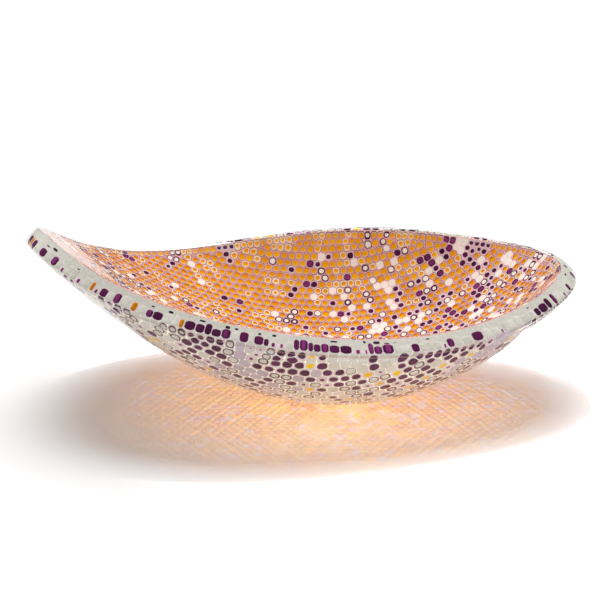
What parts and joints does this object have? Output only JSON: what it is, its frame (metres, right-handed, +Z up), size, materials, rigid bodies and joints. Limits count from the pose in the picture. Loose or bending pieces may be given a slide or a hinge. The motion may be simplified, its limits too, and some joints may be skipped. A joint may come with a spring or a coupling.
{
  "type": "art glass bowl",
  "caption": "Deep oval dish of kiln-formed glass with a raised lip at one end, its wall made of cane slices in two layers between clear glass, resting on a flat foot",
  "frame": {"origin": "middle of the flat foot the bowl rests on", "axes": "+X along the bowl's length from the raised lip toward the round end, +Y from front to back, +Z up"},
  "size_m": [0.3394, 0.235, 0.1127],
  "materials": {
    "clear_glass": "polished clear glass",
    "opal_glass": "translucent warm white opal glass",
    "lavender_glass": "translucent lavender-pink glass",
    "amber_glass": "translucent amber glass",
    "pale_amber_glass": "translucent amber glass with a pale ring",
    "plum_glass": "dark plum glass",
    "plum_ring_glass": "plum ring round an opal core",
    "cream_glass": "cream opal glass",
    "magenta_glass": "magenta glass in a pale halo"
  },
  "bodies": {
    "root": {"clear_outer_casing": "clear_glass", "opal_ground_sheet": "opal_glass", "lavender_ground_sheet": "lavender_glass", "clear_inner_lining": "clear_glass", "clear_rim_band": "clear_glass", "amber_murrine": "amber_glass", "ringed_amber_murrine": "pale_amber_glass", "plum_murrine": "plum_glass", "plum_ring_murrine": "plum_ring_glass", "cream_murrine": "cream_glass", "magenta_eye_murrine": "magenta_glass", "outer_plum_murrine": "plum_glass", "outer_plum_ring_murrine": "plum_ring_glass", "outer_magenta_murrine": "magenta_glass", "outer_amber_murrine": "amber_glass", "outer_opal_murrine": "opal_glass", "outer_lavender_murrine": "lavender_glass"}
  },
  "joints": []
}
